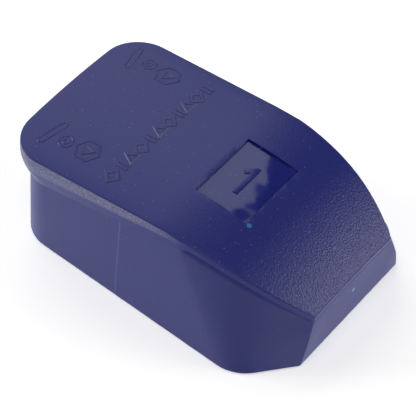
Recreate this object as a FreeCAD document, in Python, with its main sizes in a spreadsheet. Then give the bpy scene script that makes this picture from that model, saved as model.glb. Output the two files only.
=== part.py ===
"""Hand-held case for two cubes of cue chalk.

A grained cover lifts off a smooth case body. The two cubes face down, each in a rubber sleeve whose mouth is
in the base plate, and foam pads under the cover back them up. A pot magnet in the nose parks the case.

Sheet values ending in _x are measured forward from the lip's rear edge, and those ending in _z up from the
table. The origin is on the table under the middle of the length, +X points to the nose and +Z is up.
"""
import FreeCAD, Part
import os
import Sketcher
from FreeCAD import Placement, Rotation, Vector

SIZES = [
    # alias, millimetres, what it is
    ("chalk_side", 22.0, "side of a chalk cube"),
    ("chalk_tall", 21.0, "height of a chalk cube"),
    ("chalk_z", 1.3, "chalk face above the table"),
    ("chalk_edge", 0.8, "bevel on a cube's upright edges"),
    ("dish_radius", 14.0, "radius of the dish that a cue tip wears"),
    ("dish_depth", 2.4, "depth of that dish"),
    ("label_thick", 0.15, "paper label round a cube"),
    ("label_tall", 15.0, "height of that label"),
    ("chalk_gap", 0.2, "gap between a label and its sleeve"),
    ("sleeve_wall", 1.4, "wall of a rubber sleeve"),
    ("sleeve_tall", 12.0, "height of a sleeve above the base plate"),
    ("sleeve_flange", 1.0, "how far a sleeve's foot flange stands out"),
    ("flange_thick", 1.5, "thickness of that flange"),
    ("sleeve_gap", 0.1, "gap between a sleeve and the deck"),
    ("sleeve_space", 0.6, "space between the two flanges"),
    ("rear_room", 1.2, "space between the rear wall and the rear flange"),
    ("head_room", 2.5, "from a cube's back to the cover's ceiling at its side edge"),
    ("pad_side", 18.0, "side of a foam backing pad"),
    ("pad_gap", 0.3, "gap between a pad and its cube"),
    ("crown", 1.5, "rise of the top face's middle above its side edge"),
    ("lip_half", 24.0, "half width of the top face at the rear"),
    ("lip_bulge", 0.3, "how far the lip's widest line stands outside its top edge"),
    ("lip_band", 3.8, "height of the lip's grained band"),
    ("lip_radius", 9.2, "plan radius of the lip's rear corners"),
    ("lip_sink", 0.12, "how far the lip lies inside the side wall where it dies out"),
    ("lip_run", 0.4, "how far it runs past the start of the chamfer"),
    ("slope_back", 5.1, "from the front cube's centre back to where the top face bends"),
    ("slope_run", 39.85, "from there to the nose"),
    ("slope_sweep", 75.0, "degrees of that bend that are swept"),
    ("nose_z", 12.25, "height of the nose edge without the crown"),
    ("nose_lean", 1.0, "how far the nose face stands back at the base"),
    ("nose_carry", 0.5, "how far it has come forward at the crease height"),
    ("base_rear_x", 1.3, "rear wall at the base"),
    ("base_wide", 0.4, "half width at the base's rear, beyond the lip's"),
    ("base_flare", 6.7, "half width at the base's front corner, beyond the lip's"),
    ("base_radius", 11.2, "plan radius of the base's rear corners"),
    ("corner_back", 11.3, "from the nose back to the base's front corner"),
    ("corner_radius", 10.0, "plan radius of that corner"),
    ("chamfer_in", 11.4, "how far the chamfer narrows the nose at the base"),
    ("top_rear_x", 2.6, "rear wall carried up to the crease height"),
    ("top_narrow", 1.1, "half width there, inside the lip's"),
    ("top_radius", 8.9, "plan radius of its rear corners"),
    ("bow_back", 32.6, "from the nose back to the chamfer's start at the crease height"),
    ("bow_narrow", 0.5, "half width there, inside the lip's"),
    ("bow_radius", 68.0, "plan radius of the chamfer's bow there"),
    ("bow_in", 12.8, "how far the chamfer narrows the nose at the crease height"),
    ("wall", 1.8, "side wall of the case body"),
    ("rim_z", 0.3, "the side wall's rim above the table, so that the feet carry the case"),
    ("seam_rear_z", 17.9, "parting line at the lip's rear edge"),
    ("seam_rise", 0.118, "rise of the parting line per millimetre forward"),
    ("cover_edge", 1.2, "depth of the cover's edge along the slope"),
    ("seam_gap", 0.1, "gap between cover and case body"),
    ("cover_wall", 1.6, "thickness of the cover's top"),
    ("rim_wall", 1.2, "thickness of the cover's locating rim"),
    ("rim_depth", 2.0, "how far the rim reaches into the case body"),
    ("rim_gap", 0.2, "gap between that rim and the wall"),
    ("nose_room", 2.85, "from the nose edge down to the deck"),
    ("deck_thick", 1.6, "thickness of the deck"),
    ("recess_on", 2.7, "from the start of the bend to the polished recess"),
    ("recess_run", 14.1, "length of the recess along X"),
    ("recess_half", 10.1, "its half width"),
    ("recess_rear_deep", 0.9, "depth of its floor's rear edge at the middle"),
    ("recess_front_deep", 0.6, "depth of its floor's front edge at the middle"),
    ("digit_long", 9.4, "height of the raised digit 1, along Y"),
    ("digit_wide", 1.4, "width of its stroke"),
    ("digit_flag", 3.0, "length of its flag"),
    ("digit_tilt", 35.0, "degrees between its flag and its stem"),
    ("digit_rise", 0.3, "how far it stands above the recess floor"),
    ("digit_sink", 0.1, "how far it goes into that floor"),
    ("plate_z", 0.9, "underside of the base plate"),
    ("plate_thick", 1.4, "thickness of the base plate"),
    ("plate_gap", 0.15, "gap between the base plate and the wall"),
    ("magnet_back", 12.7, "from the nose back to the magnet's centre"),
    ("magnet_radius", 5.0, "radius of the magnet"),
    ("magnet_thick", 3.0, "thickness of the magnet"),
    ("pot_wall", 1.0, "wall and roof of the steel pot"),
    ("pot_gap", 0.1, "gap round the pot"),
    ("pot_boss_wall", 1.4, "wall of the boss that holds the pot"),
    ("screw_radius", 1.1, "screw shank"),
    ("head_radius", 2.1, "countersunk screw head"),
    ("head_tall", 1.1, "height of that head"),
    ("screw_gap", 0.05, "gap round a screw"),
    ("screw_cover", 2.5, "from a screw's tip up to the deck's top"),
    ("boss_radius", 2.7, "screw bosses under the deck"),
    ("boss_inset", 5.9, "from the side wall's outside at the base to a boss's centre"),
    ("rear_screw_x", 33.2, "rear pair of screws"),
    ("front_screw_back", 16.2, "from the nose back to the front pair"),
    ("foot_radius", 3.2, "rubber feet"),
    ("foot_thick", 1.4, "thickness of a foot"),
    ("foot_inset", 6.9, "from the side wall's outside at the base to a foot's centre"),
    ("rear_foot_x", 13.5, "rear pair of feet"),
    ("front_foot_back", 24.7, "from the nose back to the front pair"),
    ("reach", 20.0, "how far the cutting blocks run past the case"),
]

FITS = [
    # alias, formula, what it is
    ("socket_half", "dims.chalk_side / 2 + dims.label_thick + dims.chalk_gap", "half of a sleeve's bore"),
    ("sleeve_half", "socket_half + dims.sleeve_wall", "half of a sleeve's outside"),
    ("flange_half", "sleeve_half + dims.sleeve_flange", "half of its flange"),
    ("rear_chalk_x", "dims.top_rear_x + dims.wall + dims.rear_room + flange_half", "centre of the rear cube"),
    ("front_chalk_x", "rear_chalk_x + 2 * flange_half + dims.sleeve_space", "centre of the front cube"),
    ("slope_x", "front_chalk_x - dims.slope_back", "where the top face bends"),
    ("case_length", "slope_x + dims.slope_run", "lip's rear edge to the nose's top edge"),
    ("middle", "case_length / 2", "from the lip's rear edge to the origin"),
    ("chalk_back_z", "dims.chalk_z + dims.chalk_tall", "back of a cube"),
    ("crease_z", "chalk_back_z + dims.head_room + dims.cover_wall", "side edge of the top face"),
    ("crown_z", "crease_z + dims.crown", "middle of the top face"),
    ("nose_drop", "crease_z - dims.nose_z", "how far the top face falls to the nose"),
    ("slope_radius", "(dims.slope_run ^ 2 + nose_drop ^ 2) / (2 * nose_drop)", "radius of its bend"),
    ("bend_radius", "slope_radius + dims.crown", "the same radius at the middle of the top face"),
    ("recess_end", "dims.recess_on + dims.recess_run", "from the start of the bend to the recess's front"),
    ("rear_fall", "bend_radius - sqrt(bend_radius ^ 2 - dims.recess_on ^ 2)", "top face's fall at its rear"),
    ("front_fall", "bend_radius - sqrt(bend_radius ^ 2 - recess_end ^ 2)", "top face's fall at its front"),
    ("recess_z", "crown_z - rear_fall - dims.recess_rear_deep", "recess floor's rear edge"),
    ("recess_fall", "recess_z - crown_z + front_fall + dims.recess_front_deep", "fall of that floor"),
    ("recess_long", "sqrt(dims.recess_run ^ 2 + recess_fall ^ 2)", "length of that floor"),
    ("recess_pitch", "atan(recess_fall / dims.recess_run)", "its pitch"),
    ("base_half", "dims.lip_half + dims.base_wide", "half width at the base's rear"),
    ("corner_x", "case_length - dims.corner_back", "the base's front corner"),
    ("corner_half", "dims.lip_half + dims.base_flare", "half width there"),
    ("side_flare", "(corner_half - base_half) / (corner_x - dims.base_rear_x)", "widening per millimetre"),
    ("base_front_x", "case_length - dims.nose_lean", "nose face at the base"),
    ("base_front_half", "corner_half - dims.chamfer_in", "its half width there"),
    ("top_half", "dims.lip_half - dims.top_narrow", "half width at the crease height's rear"),
    ("bow_x", "case_length - dims.bow_back", "start of the chamfer at the crease height"),
    ("bow_half", "dims.lip_half - dims.bow_narrow", "half width there"),
    ("top_front_x", "case_length + dims.nose_carry", "nose face at the crease height"),
    ("top_front_half", "bow_half - dims.bow_in", "its half width there"),
    ("lip_end_x", "bow_x + dims.lip_run", "end of the lip"),
    ("band_z", "crease_z - dims.lip_band", "widest line of the lip"),
    ("lip_foot_z", "dims.seam_rear_z - dims.rim_depth", "foot of the lip, below the parting line"),
    ("deck_top_z", "dims.nose_z - dims.nose_room", "top of the deck"),
    ("deck_z", "deck_top_z - dims.deck_thick", "underside of the deck"),
    ("plate_top_z", "dims.plate_z + dims.plate_thick", "top of the base plate"),
    ("sleeve_top_z", "plate_top_z + dims.sleeve_tall", "top of a sleeve"),
    ("screw_top_z", "deck_top_z - dims.screw_cover", "tip of a screw"),
    ("pot_radius", "dims.magnet_radius + dims.pot_wall", "outside of the steel pot"),
    ("pot_tall", "dims.magnet_thick + dims.pot_wall", "height of the steel pot"),
    ("pot_boss_radius", "pot_radius + dims.pot_gap + dims.pot_boss_wall", "outside of the pot's boss"),
    ("magnet_x", "case_length - dims.magnet_back", "centre of the magnet"),
    ("front_screw_x", "case_length - dims.front_screw_back", "front pair of screws"),
    ("front_foot_x", "case_length - dims.front_foot_back", "front pair of feet"),
]

doc = FreeCAD.newDocument("chalk_case")
dims = doc.addObject("Spreadsheet::Sheet", "dims")
fits = doc.addObject("Spreadsheet::Sheet", "fits")
for sheet, rows, prefix in ((dims, SIZES, ""), (fits, FITS, "=")):
    for row, (alias, content, note) in enumerate(rows, start=1):
        sheet.set(f"A{row}", alias)
        sheet.set(f"B{row}", f"{prefix}{content}")
        sheet.set(f"C{row}", note)
        sheet.setAlias(f"B{row}", alias)
doc.recompute()


def value_of(expression):
    """The number that an expression on the sheets gives now, to start a sketch near its answer."""
    return float(fits.evalExpression(expression))


def add(kind, name, place=None, turn=None, **sizes):
    """Add a document object whose properties and position follow expressions on the sheets."""
    item = doc.addObject(kind, name)
    if turn is not None:
        item.Placement = Placement(Vector(), turn)
    for axis, expression in zip("xyz", place or ()):
        item.setExpression(f"Placement.Base.{axis}", expression)
    for size, expression in sizes.items():
        item.setExpression(size, expression)
    return item


def block(name, x, z, long, wide, tall, y="0"):
    """A box centred on (x, y) and standing on z, with x measured from the lip's rear edge."""
    place = (f"{x} - fits.middle - ({long}) / 2", f"{y} - ({wide}) / 2", z)
    return add("Part::Box", name, place, Length=long, Width=wide, Height=tall)


def cylinder(name, x, z, radius, tall, y="0"):
    return add("Part::Cylinder", name, (f"{x} - fits.middle", y, z), Radius=radius, Height=tall)


def cut(name, base, tool):
    item = doc.addObject("Part::Cut", name)
    item.Base = base
    item.Tool = tool
    return item


def common(name, *shapes):
    item = doc.addObject("Part::MultiCommon", name)
    item.Shapes = list(shapes)
    return item


def fuse(name, *shapes):
    item = doc.addObject("Part::MultiFuse", name)
    item.Shapes = list(shapes)
    item.Refine = True
    return item


def group(name, *shapes):
    item = doc.addObject("Part::Compound", name)
    item.Links = list(shapes)
    return item


def extrude(name, source, direction, length):
    item = add("Part::Extrusion", name, LengthFwd=length)
    item.Base = source
    item.DirMode = "Custom"
    item.Dir = direction
    item.Solid = True
    return item


def loft(name, *sections):
    item = doc.addObject("Part::Loft", name)
    item.Sections = list(sections)
    item.Solid = True
    item.Ruled = True
    return item


def constrain(sketch, kind, *refs):
    sketch.addConstraint(Sketcher.Constraint(kind, *refs))


def bind(sketch, kind, refs, expression):
    """Add a dimension to a sketch and tie it to the sheets."""
    index = sketch.addConstraint(Sketcher.Constraint(kind, *refs, value_of(expression)))
    sketch.setExpression(f"Constraints[{index}]", expression)


def pin_point(sketch, geometry, end, x, y):
    bind(sketch, "DistanceX", (-1, 1, geometry, end), x)
    bind(sketch, "DistanceY", (-1, 1, geometry, end), y)


def end_near(sketch, geometry, point):
    """Which end of a line or arc, 1 or 2, is nearer to a point."""
    gaps = [(sketch.getPoint(geometry, end) - point).Length for end in (1, 2)]
    return 1 if gaps[0] < gaps[1] else 2


def join(sketch, first, second, point, smooth=False):
    """Join two pieces of an outline at a point, with a corner or tangent to each other."""
    ends = (first, end_near(sketch, first, point), second, end_near(sketch, second, point))
    constrain(sketch, "Tangent" if smooth else "Coincident", *ends)


def flip(point):
    return Vector(point.x, -point.y, 0)


def round_corner(corner, into, out_of, radius):
    """Start, middle and end of the arc that rounds a right-hand corner between two directions."""
    tangent = radius * (into - out_of).Length / (into + out_of).Length
    start = corner - into * tangent
    centre = start + Vector(into.y, -into.x, 0) * radius
    middle = centre + (corner - centre).normalize() * radius
    return start, middle, corner + out_of * tangent


def bow(corner, front, radius):
    """Five points along the arc of a radius that bulges outwards between a corner and the front point."""
    chord = front - corner
    inward = Vector(chord.y, -chord.x, 0).normalize()
    centre = (corner + front) / 2 + inward * (radius ** 2 - chord.Length ** 2 / 4) ** 0.5
    half = centre - inward * radius
    first = ((corner + half) / 2 - centre).normalize() * radius + centre
    last = ((half + front) / 2 - centre).normalize() * radius + centre
    return corner, first, half, last, front


def outline(name, level, rear, half, radius, corner, front=None, front_radius=None, bow_radius=None):
    """A closed plan outline, the same on both sides of the centre line.

    The side line runs through (rear, half) and the corner. Then comes a chamfer to the front point, either
    rounded into the side line by a front radius or bowed to a radius, or with no front point a plain square
    end.
    """
    sketch = add("Sketcher::SketchObject", name, ("-fits.middle", "0", level))
    back = Vector(value_of(rear), value_of(half), 0)
    turn = Vector(*(value_of(number) for number in corner), 0)
    nose = Vector(*(value_of(number) for number in front), 0) if front else turn
    along = (turn - back).normalize()
    wall_end, bend, side_start = round_corner(back, Vector(0, 1, 0), along, value_of(radius))
    pieces = [(Part.Arc, (wall_end, bend, side_start)), (Part.LineSegment, (side_start, turn))]
    if front_radius:
        down = (nose - turn).normalize()
        side_end, bend, chamfer_start = round_corner(turn, along, down, value_of(front_radius))
        pieces[1] = (Part.LineSegment, (side_start, side_end))
        pieces += [(Part.Arc, (side_end, bend, chamfer_start)), (Part.LineSegment, (chamfer_start, nose))]
    elif front:
        points = bow(turn, nose, value_of(bow_radius))
        pieces += [(Part.Arc, points[0:3]), (Part.Arc, points[2:5])]

    sketch.addGeometry(Part.LineSegment(flip(wall_end), wall_end), False)
    for kind, points in pieces:
        sketch.addGeometry(kind(*points), False)
    sketch.addGeometry(Part.LineSegment(nose, flip(nose)), False)
    for kind, points in reversed(pieces):
        sketch.addGeometry(kind(*(flip(point) for point in reversed(points))), False)
    last = 2 * len(pieces) + 1

    constrain(sketch, "Symmetric", 0, 1, 0, 2, -1)
    bind(sketch, "DistanceX", (-1, 1, 0, 2), rear)
    joints = [wall_end] + [points[-1] for _, points in pieces]
    for index, point in enumerate(joints):
        join(sketch, index, index + 1, point, smooth=index < len(pieces) and (index != 2 or not bow_radius))
        join(sketch, last - index, (last + 1 - index) % (last + 1), flip(point))
    for far, (kind, points) in enumerate(pieces, start=1):
        near = last + 1 - far
        ends = (far, end_near(sketch, far, points[-1]), near, end_near(sketch, near, flip(points[-1])))
        constrain(sketch, "Symmetric", *ends, -1)
        if kind is Part.Arc:
            constrain(sketch, "Equal", far, near)
    bind(sketch, "Radius", (1,), radius)
    guide = sketch.addGeometry(Part.Point(back), True)
    pin_point(sketch, guide, 1, rear, half)
    constrain(sketch, "PointOnObject", guide, 1, 2)
    if front_radius:
        guide = sketch.addGeometry(Part.Point(turn), True)
        pin_point(sketch, guide, 1, *corner)
        constrain(sketch, "PointOnObject", guide, 1, 2)
        constrain(sketch, "PointOnObject", guide, 1, 4)
        bind(sketch, "Radius", (3,), front_radius)
    else:
        pin_point(sketch, 2, end_near(sketch, 2, turn), *corner)
    if front:
        pin_point(sketch, 4, end_near(sketch, 4, nose), *front)
    if bow_radius:
        bind(sketch, "Radius", (3,), bow_radius)
        constrain(sketch, "Equal", 3, 4)
        halfway = f"({corner[0]} + {front[0]}) / 2"
        bind(sketch, "DistanceX", (-1, 1, 3, end_near(sketch, 3, joints[3])), halfway)
    return sketch


# ---- Side walls: ruled from the base outline to the outline at the crease height ----
base_outline = outline(
    "base_outline", "dims.rim_z", "dims.base_rear_x", "fits.base_half", "dims.base_radius",
    ("fits.corner_x", "fits.corner_half"), ("fits.base_front_x", "fits.base_front_half"),
    front_radius="dims.corner_radius",
)
crease_outline = outline(
    "crease_outline", "fits.crease_z", "dims.top_rear_x", "fits.top_half", "dims.top_radius",
    ("fits.bow_x", "fits.bow_half"), ("fits.top_front_x", "fits.top_front_half"),
    bow_radius="dims.bow_radius",
)


def wall_block(name, depth=None):
    """The case's plan shape as a solid that stands clear above the crown, inset by a depth if given."""
    sections = []
    for sketch in (base_outline, crease_outline):
        if depth:
            section = add("Part::Offset2D", f"{name}_{sketch.Name}", Value=f"-({depth})")
            section.Source = sketch
            section.Join = "Intersection"
        else:
            section = sketch
        sections.append(section)
    sides = loft(f"{name}_sides", *sections)
    head = extrude(f"{name}_head", sections[1], Vector(0, 0, 1), "dims.crown + dims.cover_wall")
    return fuse(name, sides, head)


# ---- Top face: a shallow crown, level at the rear and bending down to the nose ----
def under_top(name, drop):
    """Everything below the top face lowered by a depth."""
    place = ("fits.slope_x - fits.middle", "0", "fits.crease_z")
    sketch = add("Sketcher::SketchObject", f"{name}_profile", place, Rotation(Vector(1, 1, 1), 120))
    centre_down = "((dims.lip_half ^ 2 + dims.crown ^ 2) / (2 * dims.crown) - dims.crown)"
    radius = f"({centre_down} + dims.crown - {drop})"
    width = "(fits.corner_half + dims.reach / 2)"
    foot = "(fits.crease_z + dims.reach / 2)"
    r = value_of(radius)
    centre = Vector(0, -value_of(centre_down), 0)
    shoulder = Vector(value_of(width), centre.y + (r ** 2 - value_of(width) ** 2) ** 0.5, 0)
    corner = Vector(shoulder.x, -value_of(foot), 0)
    mirror = [Vector(-point.x, point.y, 0) for point in (corner, shoulder)]
    sketch.addGeometry(Part.Arc(mirror[1], centre + Vector(0, r, 0), shoulder), False)
    loop = [shoulder, corner] + mirror
    for start, end in zip(loop, loop[1:]):
        sketch.addGeometry(Part.LineSegment(start, end), False)
    for index, point in enumerate(loop):
        join(sketch, index, (index + 1) % len(loop), point)
    constrain(sketch, "PointOnObject", 0, 3, -2)
    constrain(sketch, "Vertical", 1)
    constrain(sketch, "Symmetric", 2, 1, 2, 2, -2)
    constrain(sketch, "Vertical", 3)
    bind(sketch, "Radius", (0,), radius)
    bind(sketch, "DistanceY", (0, 3, -1, 1), centre_down)
    bind(sketch, "DistanceX", (-1, 1, 2, 1), width)
    bind(sketch, "DistanceY", (2, 1, -1, 1), foot)
    level = extrude(f"{name}_level", sketch, Vector(-1, 0, 0), "fits.slope_x + dims.reach")
    bend = add("Part::Revolution", f"{name}_bend", Angle="dims.slope_sweep")
    bend.Source = sketch
    bend.Axis = Vector(0, 1, 0)
    bend.Solid = True
    bend.setExpression("Base.x", "fits.slope_x - fits.middle")
    bend.setExpression("Base.z", "fits.crease_z - fits.slope_radius")
    return fuse(name, level, bend)


# ---- Parting surface: a straight rise under the lip, then along the slope to the nose ----
def under_seam(name, drop):
    """Everything below the parting surface lowered by a depth."""
    slope = under_top(f"{name}_slope", f"(dims.cover_edge + {drop})")
    side = "(fits.corner_half + dims.reach)"
    run = "(fits.case_length + dims.reach)"
    rise = add(
        "Part::Wedge", f"{name}_rise", ("-fits.middle", "0", "0"), Rotation(Vector(0, 0, 1), -90),
        Xmin=f"-{side}", Xmax=side, X2min=f"-{side}", X2max=side, Ymin="0", Ymax=run,
        Zmin="-dims.reach", Z2min="-dims.reach", Zmax=f"dims.seam_rear_z - {drop}",
        Z2max=f"dims.seam_rear_z - {drop} + dims.seam_rise * {run}",
    )
    return common(name, slope, rise)


# ---- Cover: grained top and lip, with a rim that fits inside the case body's wall ----
def share_at(level):
    """How far down the side wall a level is: 1 at the rim and 0 at the crease height."""
    return f"((fits.crease_z - {level}) / (fits.crease_z - dims.rim_z))"


def lip_outline(name, level, rear, half, share):
    """An outline of the lip whose front end is sunk in the side wall, at a share of the way down it."""
    flared = "(fits.base_half + fits.side_flare * (fits.lip_end_x - dims.base_rear_x))"
    end = f"(fits.bow_half + {share} * ({flared} - fits.bow_half) - dims.lip_sink)"
    return outline(name, level, rear, half, "dims.lip_radius", ("fits.lip_end_x", end))


foot_share = share_at("fits.lip_foot_z")
lip_foot = lip_outline(
    "lip_foot", "fits.lip_foot_z",
    f"dims.top_rear_x + {foot_share} * (dims.base_rear_x - dims.top_rear_x)",
    f"fits.top_half + {foot_share} * (fits.base_half - fits.top_half)", foot_share,
)
lip_widest = lip_outline(
    "lip_widest", "fits.band_z", "0", "dims.lip_half + dims.lip_bulge", share_at("fits.band_z"),
)
lip_crease = lip_outline("lip_crease", "fits.crease_z", "dims.lip_bulge / 2", "dims.lip_half", "0")
lip = fuse(
    "lip",
    loft("lip_sides", lip_foot, lip_widest, lip_crease),
    extrude("lip_head", lip_crease, Vector(0, 0, 1), "dims.crown"),
)

envelope = wall_block("envelope")
rim_block = wall_block("rim_block", "dims.wall + dims.rim_gap")
hollow_block = wall_block("hollow_block", "dims.wall + dims.rim_gap + dims.rim_wall")
top_face = under_top("top_face", "0")
ceiling = under_top("ceiling", "dims.cover_wall")

cover_skin = common("cover_skin", fuse("cover_block", envelope, lip), top_face)
cover_top = cut("cover_top", cover_skin, under_seam("seam", "0"))
rim = cut("rim", common("rim_core", rim_block, ceiling), under_seam("rim_floor", "dims.rim_depth"))
cover_hollow = common("cover_hollow", hollow_block, ceiling)
cover_shell = cut("cover_shell", fuse("cover_solid", cover_top, rim), cover_hollow)


def on_recess_floor(name, along, across, sink, long, wide, tall, swivel="0"):
    """A box standing on the recess's sloping floor, placed from the middle of the floor's rear edge."""
    item = add("Part::Box", name, Length=long, Width=wide, Height=tall)
    item.setExpression(
        "Placement",
        f"create(<<placement>>; create(<<vector>>; fits.slope_x + dims.recess_on - fits.middle; 0;"
        f" fits.recess_z); create(<<rotation>>; create(<<vector>>; 0; 1; 0); fits.recess_pitch))"
        f" * create(<<placement>>; create(<<vector>>; {along}; {across}; -({sink}));"
        f" create(<<rotation>>; create(<<vector>>; 0; 0; 1); ({swivel}) * 1 deg))",
    )
    return item


recess = on_recess_floor(
    "recess", "0", "-dims.recess_half", "0", "fits.recess_long", "2 * dims.recess_half", "dims.reach",
)
digit_tall = "dims.digit_sink + dims.digit_rise"
digit_top = "(dims.digit_long / 2)"
digit_stem = on_recess_floor(
    "digit_stem", "fits.recess_long / 2 - dims.digit_wide / 2", "-dims.digit_long / 2", "dims.digit_sink",
    "dims.digit_wide", "dims.digit_long", digit_tall,
)
digit_flag = on_recess_floor(
    "digit_flag", "fits.recess_long / 2 + dims.digit_wide / 2", digit_top, "dims.digit_sink",
    "dims.digit_flag", "dims.digit_wide", digit_tall, "180 + dims.digit_tilt",
)
cover = fuse("cover", cut("cover_pressed", cover_shell, recess), digit_stem, digit_flag)

# ---- Case body: walls, a deck with two square holes, and bosses for the base plate's screws ----
FRONT_AND_REAR = (("rear", "fits.rear_chalk_x"), ("front", "fits.front_chalk_x"))


def side_at(x):
    """Half width of the outside at the base, x forward of the lip's rear edge."""
    return f"(fits.base_half + fits.side_flare * ({x} - dims.base_rear_x))"


def slab(name, z, tall):
    long = "fits.case_length + 2 * dims.reach"
    return block(name, "fits.middle", z, long, "2 * (fits.corner_half + dims.reach)", tall)


def four_corners(name, rear_x, front_x, inset, make):
    """Four like pieces, mirrored about the centre line, set in from the outside by the same distance."""
    pieces = []
    for end, x in (("rear", rear_x), ("front", front_x)):
        for side, sign in (("left", ""), ("right", "-")):
            pieces.append(make(f"{end}_{side}_{name}", x, f"{sign}({side_at(x)} - {inset})"))
    return pieces


def at_screws(name, make):
    return four_corners(name, "dims.rear_screw_x", "fits.front_screw_x", "dims.boss_inset", make)


def at_feet(name, make):
    return four_corners(name, "dims.rear_foot_x", "fits.front_foot_x", "dims.foot_inset", make)


deck_slab = slab("deck_slab", "fits.deck_z", "dims.deck_thick")
cavity = cut("cavity", wall_block("cavity_block", "dims.wall"), deck_slab)
body_skin = common("body_skin", envelope, under_seam("body_seam", "dims.seam_gap"))
walls_and_deck = cut("walls_and_deck", body_skin, cavity)
boss_tall = "fits.deck_z - fits.plate_top_z + dims.deck_thick / 2"
bosses = at_screws(
    "boss", lambda name, x, y: cylinder(name, x, "fits.plate_top_z", "dims.boss_radius", boss_tall, y),
)
pilot_tall = "fits.screw_top_z - fits.plate_top_z + dims.screw_gap"
pilots = at_screws(
    "pilot",
    lambda name, x, y: cylinder(name, x, "fits.plate_top_z", "dims.screw_radius + dims.screw_gap",
                                pilot_tall, y),
)
hole_side = "2 * (fits.sleeve_half + dims.sleeve_gap)"
deck_holes = [
    block(f"{end}_deck_hole", x, "fits.deck_z", hole_side, hole_side, "dims.deck_thick")
    for end, x in FRONT_AND_REAR
]
case_body = cut(
    "case_body", fuse("body_and_bosses", walls_and_deck, *bosses), group("body_holes", *pilots, *deck_holes),
)

# ---- Base plate: closes the underside, with the two mouths and the pot magnet's boss ----
plate_slab = slab("plate_slab", "dims.plate_z", "dims.plate_thick")
plate_sheet = common("plate_sheet", wall_block("plate_block", "dims.wall + dims.plate_gap"), plate_slab)
pot_boss = cylinder(
    "pot_boss", "fits.magnet_x", "dims.plate_z", "fits.pot_boss_radius",
    "fits.pot_tall + dims.pot_gap + dims.pot_wall",
)
pot_hole = cylinder(
    "pot_hole", "fits.magnet_x", "dims.plate_z", "fits.pot_radius + dims.pot_gap",
    "fits.pot_tall + dims.pot_gap",
)
mouths = [
    block(f"{end}_mouth", x, "dims.plate_z", "2 * fits.socket_half", "2 * fits.socket_half",
          "dims.plate_thick")
    for end, x in FRONT_AND_REAR
]


def screw_shape(gap):
    """A maker of countersunk screws, head down in the base plate, or of the holes for them."""
    def make(name, x, y):
        radius = f"dims.screw_radius + {gap}"
        shank = cylinder(f"{name}_shank", x, "dims.plate_z", radius, "fits.screw_top_z - dims.plate_z", y)
        head = add(
            "Part::Cone", f"{name}_head", (f"{x} - fits.middle", y, "dims.plate_z"),
            Radius1=f"dims.head_radius + {gap}", Radius2=radius, Height="dims.head_tall",
        )
        return fuse(name, shank, head)
    return make


def foot_shape(gap, bottom):
    def make(name, x, y):
        return cylinder(name, x, bottom, f"dims.foot_radius + {gap}", f"dims.foot_thick - {bottom}", y)
    return make


screw_holes = at_screws("screw_hole", screw_shape("dims.screw_gap"))
foot_seats = at_feet("foot_seat", foot_shape("dims.screw_gap", "dims.plate_z"))
base_plate = cut(
    "base_plate", fuse("plate_and_boss", plate_sheet, pot_boss),
    group("plate_holes", pot_hole, *mouths, *screw_holes, *foot_seats),
)

slot_deep = "dims.head_tall / 2"
slot_long = "1.2 * dims.head_radius"
slot_wide = "dims.head_radius / 4"


def cross_slot(name, x, y):
    bars = [
        block(f"{name}_{turn}", x, "dims.plate_z", long, wide, slot_deep, y)
        for turn, long, wide in (("long", slot_long, slot_wide), ("wide", slot_wide, slot_long))
    ]
    return group(name, *bars)


solid_screws = at_screws("screw", screw_shape("0"))
slots = at_screws("slot", cross_slot)
base_screws = group(
    "base_screws", *(cut(f"{screw.Name}_cut", screw, slot) for screw, slot in zip(solid_screws, slots)),
)
rubber_feet = group("rubber_feet", *at_feet("foot", foot_shape("0", "0")))

# ---- Magnet and its steel pot, open at the base ----
magnet = cylinder("magnet", "fits.magnet_x", "dims.plate_z", "dims.magnet_radius", "dims.magnet_thick")
pot_blank = cylinder("pot_blank", "fits.magnet_x", "dims.plate_z", "fits.pot_radius", "fits.pot_tall")
magnet_seat = cylinder(
    "magnet_seat", "fits.magnet_x", "dims.plate_z", "dims.magnet_radius", "dims.magnet_thick",
)
magnet_pot = cut("magnet_pot", pot_blank, magnet_seat)


# ---- Square pieces: rubber sleeves, chalk cubes, paper labels and foam pads ----
def new_body(name, x, z):
    return add("PartDesign::Body", name, (f"{x} - fits.middle", "0", z))


def square_sketch(body, name, halves):
    """A sketch of one or more squares about the middle, on the body's own XY plane."""
    plane = next(item for item in body.Origin.OriginFeatures if item.Role == "XY_Plane")
    sketch = body.newObject("Sketcher::SketchObject", name)
    sketch.AttachmentSupport = (plane, [""])
    sketch.MapMode = "FlatFace"
    for number, half in enumerate(halves):
        h = value_of(half)
        corners = [Vector(-h, -h, 0), Vector(h, -h, 0), Vector(h, h, 0), Vector(-h, h, 0)]
        first = 4 * number
        for start, end in zip(corners, corners[1:] + corners[:1]):
            sketch.addGeometry(Part.LineSegment(start, end), False)
        for edge in range(4):
            constrain(sketch, "Coincident", first + edge, 2, first + (edge + 1) % 4, 1)
        for edge in (0, 2):
            constrain(sketch, "Horizontal", first + edge)
            constrain(sketch, "Vertical", first + edge + 1)
        constrain(sketch, "Symmetric", first, 1, first + 1, 2, -1, 1)
        bind(sketch, "DistanceX", (-1, 1, first, 2), half)
        bind(sketch, "DistanceY", (first, 2, -1, 1), half)
    return sketch


def pad(body, name, sketch, length):
    item = body.newObject("PartDesign::Pad", name)
    item.Profile = sketch
    item.setExpression("Length", length)
    return item


def upright_edges(feature, half):
    """Names of a pad's upright edges that stand on a square's corners."""
    names = []
    for number, edge in enumerate(feature.Shape.Edges, start=1):
        ends = [vertex.Point for vertex in edge.Vertexes]
        upright = len(ends) == 2 and abs(ends[0].x - ends[1].x) + abs(ends[0].y - ends[1].y) < 1e-6
        if upright and abs(abs(ends[0].x) - half) < 1e-6:
            names.append(f"Edge{number}")
    return names


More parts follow.
